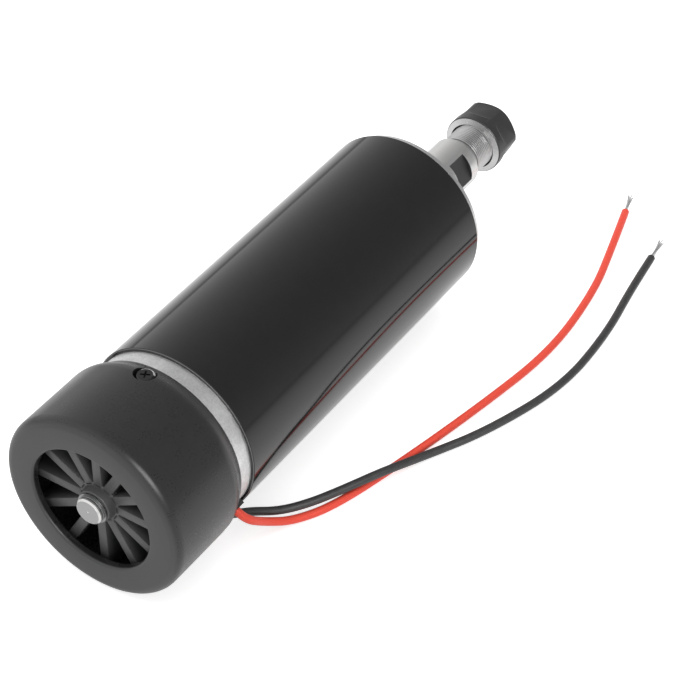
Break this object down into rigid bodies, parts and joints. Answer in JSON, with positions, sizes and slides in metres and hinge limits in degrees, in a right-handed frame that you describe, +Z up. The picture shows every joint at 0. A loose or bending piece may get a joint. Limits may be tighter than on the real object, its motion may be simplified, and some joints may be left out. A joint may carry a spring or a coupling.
{
  "type": "motor spindle",
  "caption": "Brushed DC motor spindle with a collet nose and nut, plain round body, fan-cooled rear cover and two loose power leads.",
  "frame": {"origin": "on the spindle axis, at the outer face of the front flange, which is the centre of its bolt circle", "axes": "+X along the spindle axis towards the nose; +Z up as the spindle lies on its side; the leads lie on the -Y side"},
  "size_m": [0.2249, 0.0928, 0.056],
  "materials": {
    "black_paint": "gloss",
    "cast_alu": "cast",
    "gloss_black": "satin",
    "zinc_steel": "zinc plated",
    "ferrite": "matte",
    "spring_steel": "satin",
    "bearing_steel": "ground",
    "cage_steel": "pressed",
    "card_board": "matte",
    "brass": "satin",
    "carbon": "matte",
    "black_rubber": "matte",
    "red_silicone": "satin",
    "black_silicone": "satin",
    "tinned_wire": "tinned",
    "ground_steel": "ground",
    "lamination_steel": "matte",
    "enamel_copper": "enamelled",
    "red_fibre": "matte",
    "phenolic": "matte",
    "commutator_copper": "turned",
    "matte_black": "satin",
    "black_oxide": "black oxide"
  },
  "bodies": {
    "stator": {"body_tube": "black_paint", "front_flange": "cast_alu", "rear_bell": "cast_alu", "fan_cover": "gloss_black", "cover_screws": "zinc_steel", "tie_bolts": "zinc_steel", "magnets": "ferrite", "magnet_clips": "spring_steel", "front_brg_outer_ring": "bearing_steel", "front_brg_shields": "cage_steel", "rear_brg_outer_ring": "bearing_steel", "rear_brg_shields": "cage_steel", "bearing_circlip": "spring_steel", "preload_spring": "spring_steel", "brush_card": "card_board", "card_screws": "zinc_steel", "brush_holders": "brass", "brush_spring_a": "spring_steel", "brush_spring_b": "spring_steel", "lead_grommet": "black_rubber", "red_lead": "red_silicone", "black_lead": "black_silicone", "red_lead_tip": "tinned_wire", "black_lead_tip": "tinned_wire"},
    "rotor": {"spindle_shaft": "ground_steel", "armature_core": "lamination_steel", "windings": "enamel_copper", "end_insulators": "red_fibre", "commutator_hub": "phenolic", "commutator_bars": "commutator_copper", "fan": "matte_black", "fan_snap_ring": "spring_steel", "fan_spacer": "ground_steel", "front_brg_inner_ring": "bearing_steel", "rear_brg_inner_ring": "bearing_steel"},
    "front_cage": {"front_brg_cage": "cage_steel", "front_brg_balls": "bearing_steel"},
    "rear_cage": {"rear_brg_cage": "cage_steel", "rear_brg_balls": "bearing_steel"},
    "collet": {"collet": "ground_steel"},
    "nut": {"collet_nut": "black_oxide"},
    "brush_top": {"brush_a": "carbon"},
    "brush_bottom": {"brush_b": "carbon"}
  },
  "joints": [
    {"name": "rotor_spin", "type": "hinge", "parent": "stator", "child": "rotor", "pos_m": [0, 0, 0], "axis": [1, 0, 0], "continuous": true},
    {"name": "front_cage_orbit", "type": "hinge", "parent": "stator", "child": "front_cage", "pos_m": [-0.008, 0, 0], "axis": [1, 0, 0], "continuous": true},
    {"name": "rear_cage_orbit", "type": "hinge", "parent": "stator", "child": "rear_cage", "pos_m": [-0.1235, 0, 0], "axis": [1, 0, 0], "continuous": true},
    {"name": "collet_slide", "type": "slide", "parent": "rotor", "child": "collet", "axis": [1, 0, 0], "range_m": [0, 0.006]},
    {"name": "nut_turn", "type": "hinge", "parent": "collet", "child": "nut", "pos_m": [0.043, 0, 0], "axis": [1, 0, 0], "range_deg": [0, 2885]},
    {"name": "brush_top_slide", "type": "slide", "parent": "stator", "child": "brush_top", "axis": [0, 0, 1], "range_m": [0, 0.002], "stiffness_N_per_m": 120, "springref_m": -0.004, "deforming": ["brush_spring_a"]},
    {"name": "brush_bottom_slide", "type": "slide", "parent": "stator", "child": "brush_bottom", "axis": [0, 0, -1], "range_m": [0, 0.002], "stiffness_N_per_m": 120, "springref_m": -0.004, "deforming": ["brush_spring_b"]}
  ],
  "couplings": [
    {"joint": "front_cage_orbit", "follows": "rotor_spin", "ratio": 0.3987},
    {"joint": "rear_cage_orbit", "follows": "rotor_spin", "ratio": 0.3677},
    {"joint": "nut_turn", "follows": "collet_slide", "rad_per_m": 8377.6}
  ]
}
